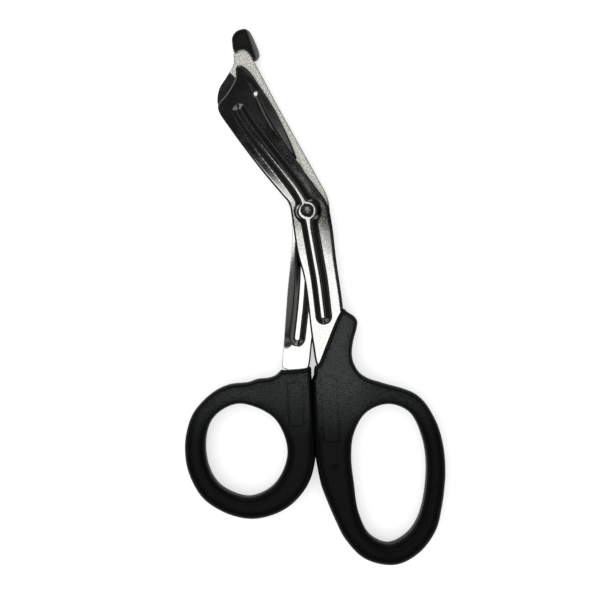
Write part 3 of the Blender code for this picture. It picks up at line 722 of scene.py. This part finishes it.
def rivet(material):
    """Peened rivet with a rolled ring round a beaten hollow, and a domed head below."""
    low = rivet_low.z
    high = rivet_high.z
    under = LOWER_Z - RIB_DEPTH
    over = UPPER_Z + SHEET_THICKNESS + RIB_DEPTH
    seat = under - RIVET_SEAT
    side = over + RIVET_SIDE
    rim = high - RIVET_SEAT / 2
    wide = RIVET_HEAD_RADIUS
    brow = RIVET_BROW_RADIUS
    hollow = brow - RIVET_LIP
    profile = []
    for k in range(9):
        a = math.pi / 2 * k / 8
        profile.append((wide * math.sin(a), seat - (seat - low) * math.cos(a)))
    profile += [(wide, under - RIVET_SEAT / 2), (RIVET_RADIUS, under)]
    profile += [(RIVET_RADIUS, over), (wide * 0.98, over)]
    for share in (0.0, 0.08, 0.5, 0.92, 1.0):
        profile.append((wide - (wide - brow) * share, side + (rim - side) * share))
    profile += [(brow - 0.06 * MM, high), (hollow, high - 0.20 * MM)]
    for k in range(1, 8):
        r = hollow * (1 - k / 7)
        profile.append((r, high - RIVET_HOLLOW + 0.08 * MM * (r / brow) ** 2))
    segments = RIVET_SEGMENTS
    bm = bmesh.new()
    rings = []
    for r, z in profile:
        if r < 1e-7:
            rings.append([bm.verts.new((PIVOT[0], PIVOT[1], z))])
            continue
        rings.append([bm.verts.new((PIVOT[0] + r * math.cos(math.tau * k / segments),
                                    PIVOT[1] + r * math.sin(math.tau * k / segments), z))
                      for k in range(segments)])
    for a, b in zip(rings, rings[1:]):
        for k in range(segments):
            j = (k + 1) % segments
            if len(a) == 1:
                bm.faces.new((a[0], b[j], b[k]))
            elif len(b) == 1:
                bm.faces.new((a[k], a[j], b[0]))
            else:
                bm.faces.new((a[k], a[j], b[j], b[k]))
    bmesh.ops.recalc_face_normals(bm, faces=bm.faces)
    mesh = bpy.data.meshes.new("pivot_rivet_fine")
    bm.to_mesh(mesh)
    bm.free()
    placed("pivot_rivet_fine", mesh, 60, material, "lower_half")


# Materials


class Graph:
    """Short ways to add shader nodes."""

    def __init__(self, tree):
        self.tree = tree

    def add(self, kind, **settings):
        node = self.tree.nodes.new(kind)
        for key, value in settings.items():
            setattr(node, key, value)
        return node

    def put(self, socket, value):
        if isinstance(value, bpy.types.NodeSocket):
            self.tree.links.new(value, socket)
        else:
            socket.default_value = value

    def math(self, operation, a, b=0.0, c=0.0):
        node = self.add("ShaderNodeMath", operation=operation)
        for socket, value in zip(node.inputs, (a, b, c)):
            self.put(socket, value)
        return node.outputs[0]

    def between(self, value, start, end, low=0.0, high=1.0):
        node = self.add("ShaderNodeMapRange", interpolation_type="SMOOTHSTEP")
        keys = ("Value", "From Min", "From Max", "To Min", "To Max")
        for key, number in zip(keys, (value, start, end, low, high)):
            self.put(node.inputs[key], number)
        return node.outputs["Result"]

    def noise(self, place, scale, detail):
        node = self.add("ShaderNodeTexNoise")
        for key, value in (("Vector", place), ("Scale", scale), ("Detail", detail)):
            self.put(node.inputs[key], value)
        return node.outputs["Fac"]

    def blend(self, factor, a, b):
        """From the first colour to the second; a plain colour is three numbers."""
        node = self.add("ShaderNodeMix", data_type="RGBA")
        self.put(node.inputs[0], factor)
        for socket, colour in ((node.inputs[6], a), (node.inputs[7], b)):
            self.put(socket, (*colour, 1.0) if isinstance(colour, tuple) else colour)
        return node.outputs[2]

    def from_pivot(self, place):
        """Right of the rivet, beyond it towards the tip, and the height above the floor."""
        parts = self.add("ShaderNodeSeparateXYZ")
        self.put(parts.inputs[0], place)
        x = self.math("SUBTRACT", parts.outputs["X"], float(PIVOT[0]))
        y = self.math("SUBTRACT", parts.outputs["Y"], float(PIVOT[1]))
        return x, y, parts.outputs["Z"]

    def bump(self, height, distance):
        node = self.add("ShaderNodeBump")
        self.put(node.inputs["Height"], height)
        self.put(node.inputs["Distance"], distance)
        return node.outputs["Normal"]


def finish_of(name, metallic):
    """A new material with its graph, shader and place on the object."""
    made = bpy.data.materials.new(name)
    made.use_nodes = True
    graph = Graph(made.node_tree)
    shader = made.node_tree.nodes["Principled BSDF"]
    shader.inputs["Metallic"].default_value = metallic
    place = graph.add("ShaderNodeTexCoord").outputs["Object"]
    return made, graph, shader, place


def steel(name, light, dark, smoothest, roughest, satin=None, painted_shade_or_flank=None):
    """Bright sheet with a fine grain: matt towards the lower tip, or darkened round the upper boss
    with a painted shade, a dark reflection painted into its colour.
    """
    made, g, shader, place = finish_of(name, 1.0)
    cloud = g.noise(place, STEEL_CLOUDS, 3.0)
    fine = g.noise(place, STEEL_GRAIN, 1.0)
    colour = g.blend(g.between(fine, 0.35, 0.65), dark, light)
    coarse = g.between(cloud, 0.3, 0.7, smoothest, roughest)
    x, y, z = g.from_pivot(place)
    if satin:
        share = satin_share(g, x, y, z)
        colour = g.blend(share, painted_shade_or_flank, colour)
        coarse = g.math("MULTIPLY_ADD", share, satin, coarse)
        g.put(shader.inputs["Metallic"], g.math("MULTIPLY_ADD", share, -0.6, 1.0))
    else:
        # Painted shade: a dark reflection painted into the flat round the upper boss, speckled by
        # the grain
        face = UPPER_Z + SHEET_THICKNESS
        share = g.math("MULTIPLY", g.between(y, *PAINTED_SHADE_STARTS), g.between(y, *PAINTED_SHADE_ENDS))
        level = g.between(z, *(face + height for height in PAINTED_SHADE_LEVEL))
        share = g.math("MULTIPLY", share, level)
        coarse = g.math("MULTIPLY_ADD", share, 0.02, coarse)
        share = g.math("MULTIPLY", share, g.between(y, *PAINTED_SHADE_EASES, 1.0, 0.35))
        share = g.math("MULTIPLY", share, g.between(fine, 0.60, 0.42, 0.6, 1.0))
        colour = g.blend(share, colour, painted_shade_or_flank)
    g.put(shader.inputs["Base Color"], colour)
    g.put(shader.inputs["Roughness"], coarse)
    g.put(shader.inputs["Normal"], g.bump(fine, STEEL_GRAIN_DEPTH))
    return made


def satin_share(g, x, y, z):
    """Where the lower blade is matt: towards the tip, but for the polished flank on its left."""
    across = g.math("MULTIPLY", y, math.sin(BLADE_CANT))
    across = g.math("ADD", g.math("MULTIPLY", x, math.cos(BLADE_CANT)), across)
    right = g.between(across, *SATIN_SIDE)
    tip_end = g.between(g.math("ADD", x, y), *SATIN_TIP)
    face = LOWER_Z + SHEET_THICKNESS
    level = g.between(z, *(face + height for height in SATIN_LEVEL))
    distal = g.math("MULTIPLY", g.between(y, *SATIN_STARTS), level)
    return g.math("MULTIPLY", distal, g.math("MAXIMUM", right, tip_end))


def peened(name, hollow, painted_glint, ring):
    """The rivet's steel: mottled in its beaten hollow, with pale flecks as painted glints, and
    darkened beyond it on the rolled ring as a painted dark reflection.
    """
    made, g, shader, place = finish_of(name, 1.0)
    fine = g.noise(place, PEENED_GRAIN, 1.0)
    x, y, _ = g.from_pivot(place)
    radius = g.math("SQRT", g.math("ADD", g.math("MULTIPLY", x, x), g.math("MULTIPLY", y, y)))
    # The hollow's mottle is peened grain, and its pale flecks are painted glints
    colour = g.blend(g.between(fine, 0.35, 0.65), hollow, painted_glint)
    # Painted dark reflection: the rolled ring and all beyond the brow darkened
    colour = g.blend(g.between(radius, *BROW_STARTS), colour, ring)
    g.put(shader.inputs["Base Color"], colour)
    g.put(shader.inputs["Roughness"], g.between(fine, 0.3, 0.7, 0.15, 0.35))
    g.put(shader.inputs["Normal"], g.bump(fine, PEENED_GRAIN_DEPTH))
    return made


def moulding(name, colour, painted_sheen_colour, grain, grain_depth, gloss, facet=None):
    """Black plastic with a painted sheen, paler on the flat tops near the blades, or with a painted
    highlight, pale on the guard's facet.
    """
    made, g, shader, place = finish_of(name, 0.0)
    shader.inputs["Specular IOR Level"].default_value = gloss
    fine = g.noise(place, grain, 2.0)
    wide = g.noise(place, PAINTED_SHEEN_CLOUDS, 3.0)
    x, y, z = g.from_pivot(place)
    if facet:
        # Painted highlight: the guard's facet paled more and more towards its right, standing in
        # for the light falling on that side
        start, end = (np.array(p) for p in facet)
        way = (end - start) / np.linalg.norm(end - start)
        x = g.math("MULTIPLY", g.math("SUBTRACT", x, float(start[0])), float(-way[1]))
        off = g.math("MULTIPLY_ADD", g.math("SUBTRACT", y, float(start[1])), float(way[0]), x)
        far = g.between(off, 0.6 * MM, 3.4 * MM, 0.0, 0.55)
        painted_sheen = g.math("MULTIPLY_ADD", g.between(off, 0.0, 0.9 * MM), 0.45, far)
    else:
        # Painted sheen: paler on the flat tops near the blades, weaker towards the rings, on the
        # left handle and far to the right, broken by the grain
        painted_sheen = g.between(y, *PAINTED_SHEEN_STARTS)
        for share in (g.between(z, *PAINTED_SHEEN_LEVEL), g.between(fine, 0.32, 0.68, 0.45, 1.45),
                      g.between(x, *PAINTED_SHEEN_SIDE, 0.62, 1.0), g.between(x, *PAINTED_SHEEN_FAR_SIDE, 0.4, 1.0)):
            painted_sheen = g.math("MULTIPLY", painted_sheen, share)
    painted_sheen = g.math("MULTIPLY", painted_sheen, g.between(wide, 0.35, 0.65, 0.85, 1.1))
    g.put(shader.inputs["Base Color"], g.blend(painted_sheen, colour, painted_sheen_colour))
    g.put(shader.inputs["Roughness"], g.between(fine, 0.3, 0.7, *MOULDING_ROUGHNESS))
    g.put(shader.inputs["Normal"], g.bump(fine, grain_depth))
    return made


# Studio


def studio():
    """Even soft light, a white view behind everything, and dark and lit parts for the steel to
    mirror. Leans are angles from straight up, in degrees in the windows."""
    world = bpy.data.worlds.new("studio")
    bpy.context.scene.world = world
    world.use_nodes = True
    g = Graph(world.node_tree)
    background = world.node_tree.nodes["Background"]
    parts = g.add("ShaderNodeSeparateXYZ")
    g.put(parts.inputs[0], g.add("ShaderNodeTexCoord").outputs["Generated"])
    x, y, z = parts.outputs
    lean_x = g.math("ARCTAN2", x, z)
    lean_y = g.math("ARCTAN2", y, z)
    lean = g.math("ARCCOSINE", z)
    corner = g.math("MULTIPLY_ADD", lean_x, 1.6, lean_y)

    def window(sides):
        share = 1.0
        for value, start, end in sides:
            edge = g.between(value, math.radians(start), math.radians(end))
            share = g.math("MULTIPLY", edge, share)
        return share

    around = g.math("ARCTAN2", y, x)
    tone = g.add("ShaderNodeValToRGB")
    g.put(tone.inputs[0], g.math("DIVIDE", lean, math.radians(90.0)))
    while len(tone.color_ramp.elements) < len(SURROUNDINGS):
        tone.color_ramp.elements.new(0.5)
    for element, (at, value) in zip(tone.color_ramp.elements, SURROUNDINGS):
        element.position = at
        element.color = (value, value, value, 1.0)
    mirrored = tone.outputs[0]
    strip = ((corner, 6.1, 5.0), (lean_x, -6.0, -4.5), (lean_x, 4.6, 3.6),
             (lean_y, -8.0, -5.0), (lean_y, 6.7, 5.3))
    pane = ((lean_x, 4.0, 5.5), (lean_x, 12.0, 9.5), (lean_y, -3.0, -1.0), (lean_y, 18.0, 16.0))
    wall = ((lean, 26.0, 31.0), (lean, 86.0, 80.0), (around, 66.0, 80.0), (lean_x, -10.0, -5.0))
    back = ((lean, 36.0, 42.0), (around, -60.0, -75.0), (lean_x, -9.0, -4.0), (lean_x, 9.0, 4.0))
    for sides, light in ((strip, STRIP_LIGHT), (pane, PANE_LIGHT),
                         (wall, WALL_LIGHT), (back, BACK_LIGHT)):
        mirrored = g.math("MULTIPLY_ADD", window(sides), light, mirrored)
    corners = g.between(g.math("SINE", g.math("MULTIPLY", around, 2.0)), -0.55, -0.95)
    corners = g.math("MULTIPLY", corners, window(((lean, 46.0, 54.0), (lean, 86.0, 80.0))))
    mirrored = g.math("MULTIPLY_ADD", corners, CORNER_LIGHT, mirrored)
    path = g.add("ShaderNodeLightPath")
    g.put(background.inputs["Color"], (1.0, 1.0, 1.0, 1.0))
    above = g.math("MAXIMUM", z, 0.0)
    from_left = g.math("MULTIPLY_ADD", x, SIDE_LIGHT, 1.0)
    soft = g.math("MULTIPLY", g.math("MULTIPLY", above, above), from_left)
    soft = g.math("MULTIPLY_ADD", soft, SOFT_LIGHT, LOW_LIGHT)
    plain = g.math("MAXIMUM", soft, path.outputs["Is Camera Ray"])
    plain = g.math("MULTIPLY", plain, g.math("SUBTRACT", 1.0, path.outputs["Is Glossy Ray"]))
    strength = g.math("MULTIPLY_ADD", path.outputs["Is Glossy Ray"], mirrored, plain)
    g.put(background.inputs["Strength"], strength)


def floor():
    """A wide plain floor that shows white and keeps the shadow."""
    mesh = bpy.data.meshes.new("floor")
    reach = FLOOR_REACH
    corners = [(-reach, -reach, 0), (reach, -reach, 0), (reach, reach, 0), (-reach, reach, 0)]
    mesh.from_pydata(corners, [], [(0, 1, 2, 3)])
    ground = bpy.data.objects.new("floor", mesh)
    bpy.context.scene.collection.objects.link(ground)
    made = bpy.data.materials.new("floor_white")
    made.use_nodes = True
    g = Graph(made.node_tree)
    shader = made.node_tree.nodes["Principled BSDF"]
    shader.inputs["Base Color"].default_value = (FLOOR_COLOUR, FLOOR_COLOUR, FLOOR_COLOUR, 1.0)
    shader.inputs["Roughness"].default_value = 1.0
    shader.inputs["Specular IOR Level"].default_value = 0.0
    shader.inputs["Emission Color"].default_value = (1.0, 1.0, 1.0, 1.0)
    path = g.add("ShaderNodeLightPath")
    glow = g.math("MULTIPLY", path.outputs["Is Camera Ray"], FLOOR_GLOW)
    g.put(shader.inputs["Emission Strength"], glow)
    mesh.materials.append(made)


def camera():
    """The photograph's camera, looking straight down."""
    data = bpy.data.cameras.new("camera")
    data.sensor_width = SENSOR_WIDTH
    data.lens = SENSOR_WIDTH * CAMERA_HEIGHT / VIEW_WIDTH
    data.clip_start = 0.01
    data.clip_end = 10.0
    eye = bpy.data.objects.new("camera", data)
    eye.location = (CAMERA_X, CAMERA_Y, CAMERA_HEIGHT + HANDLE_THICKNESS / 2)
    bpy.context.scene.collection.objects.link(eye)
    bpy.context.scene.camera = eye


def main():
    bpy.context.scene.view_settings.view_transform = "Standard"
    studio()
    floor()
    camera()

    polished = steel("polished_steel", light=(0.74, 0.74, 0.72), dark=(0.62, 0.62, 0.60),
                     smoothest=0.04, roughest=0.07, painted_shade_or_flank=(0.17, 0.17, 0.14))
    satin = steel("satin_steel", light=(1.0, 0.99, 0.93), dark=(0.44, 0.43, 0.38),
                  smoothest=0.05, roughest=0.08, satin=0.30, painted_shade_or_flank=(0.72, 0.72, 0.70))
    rivet_steel = peened("rivet_steel", hollow=(0.18, 0.18, 0.17), painted_glint=(0.85, 0.85, 0.82),
                         ring=(0.035, 0.035, 0.033))
    black = moulding("black_moulding", colour=(0.0022, 0.0025, 0.0025), painted_sheen_colour=(0.038, 0.042, 0.042),
                     grain=1700.0, grain_depth=1.6e-5, gloss=0.18)
    cap_black = moulding("black_cap", colour=(0.0060, 0.0060, 0.0055), painted_sheen_colour=(0.26, 0.26, 0.24),
                         grain=1800.0, grain_depth=5e-6, gloss=0.3, facet=CAP_FACET)

    pressed_blade("upper_blade_fine", UPPER_OUTLINE, UPPER_RIB, UPPER_GRIND, -1, True, polished,
                  "upper_half")
    pressed_blade("lower_blade_fine", LOWER_OUTLINE, LOWER_RIB, LOWER_GRIND, 1, False, satin,
                  "lower_half")
    hole, middle = finger_hole(THUMB_HOLE, THUMB_HOLE_SIZE, THUMB_HOLE_DROP, THUMB_SHANK_WIDTH, -1)
    handle("thumb_handle_fine", hole, middle, THUMB_RING, THUMB_COLLAR, -1, THUMB_PANEL,
           black, "lower_half")
    hole, middle = finger_hole(FINGER_HOLE, FINGER_HOLE_SIZE, FINGER_HOLE_DROP,
                               FINGER_SHANK_WIDTH, 1)
    handle("finger_handle_fine", hole, middle, FINGER_RING, FINGER_COLLAR, 1, FINGER_PANEL,
           black, "upper_half")
    rivet(rivet_steel)
    tip_guard(cap_black)


main()
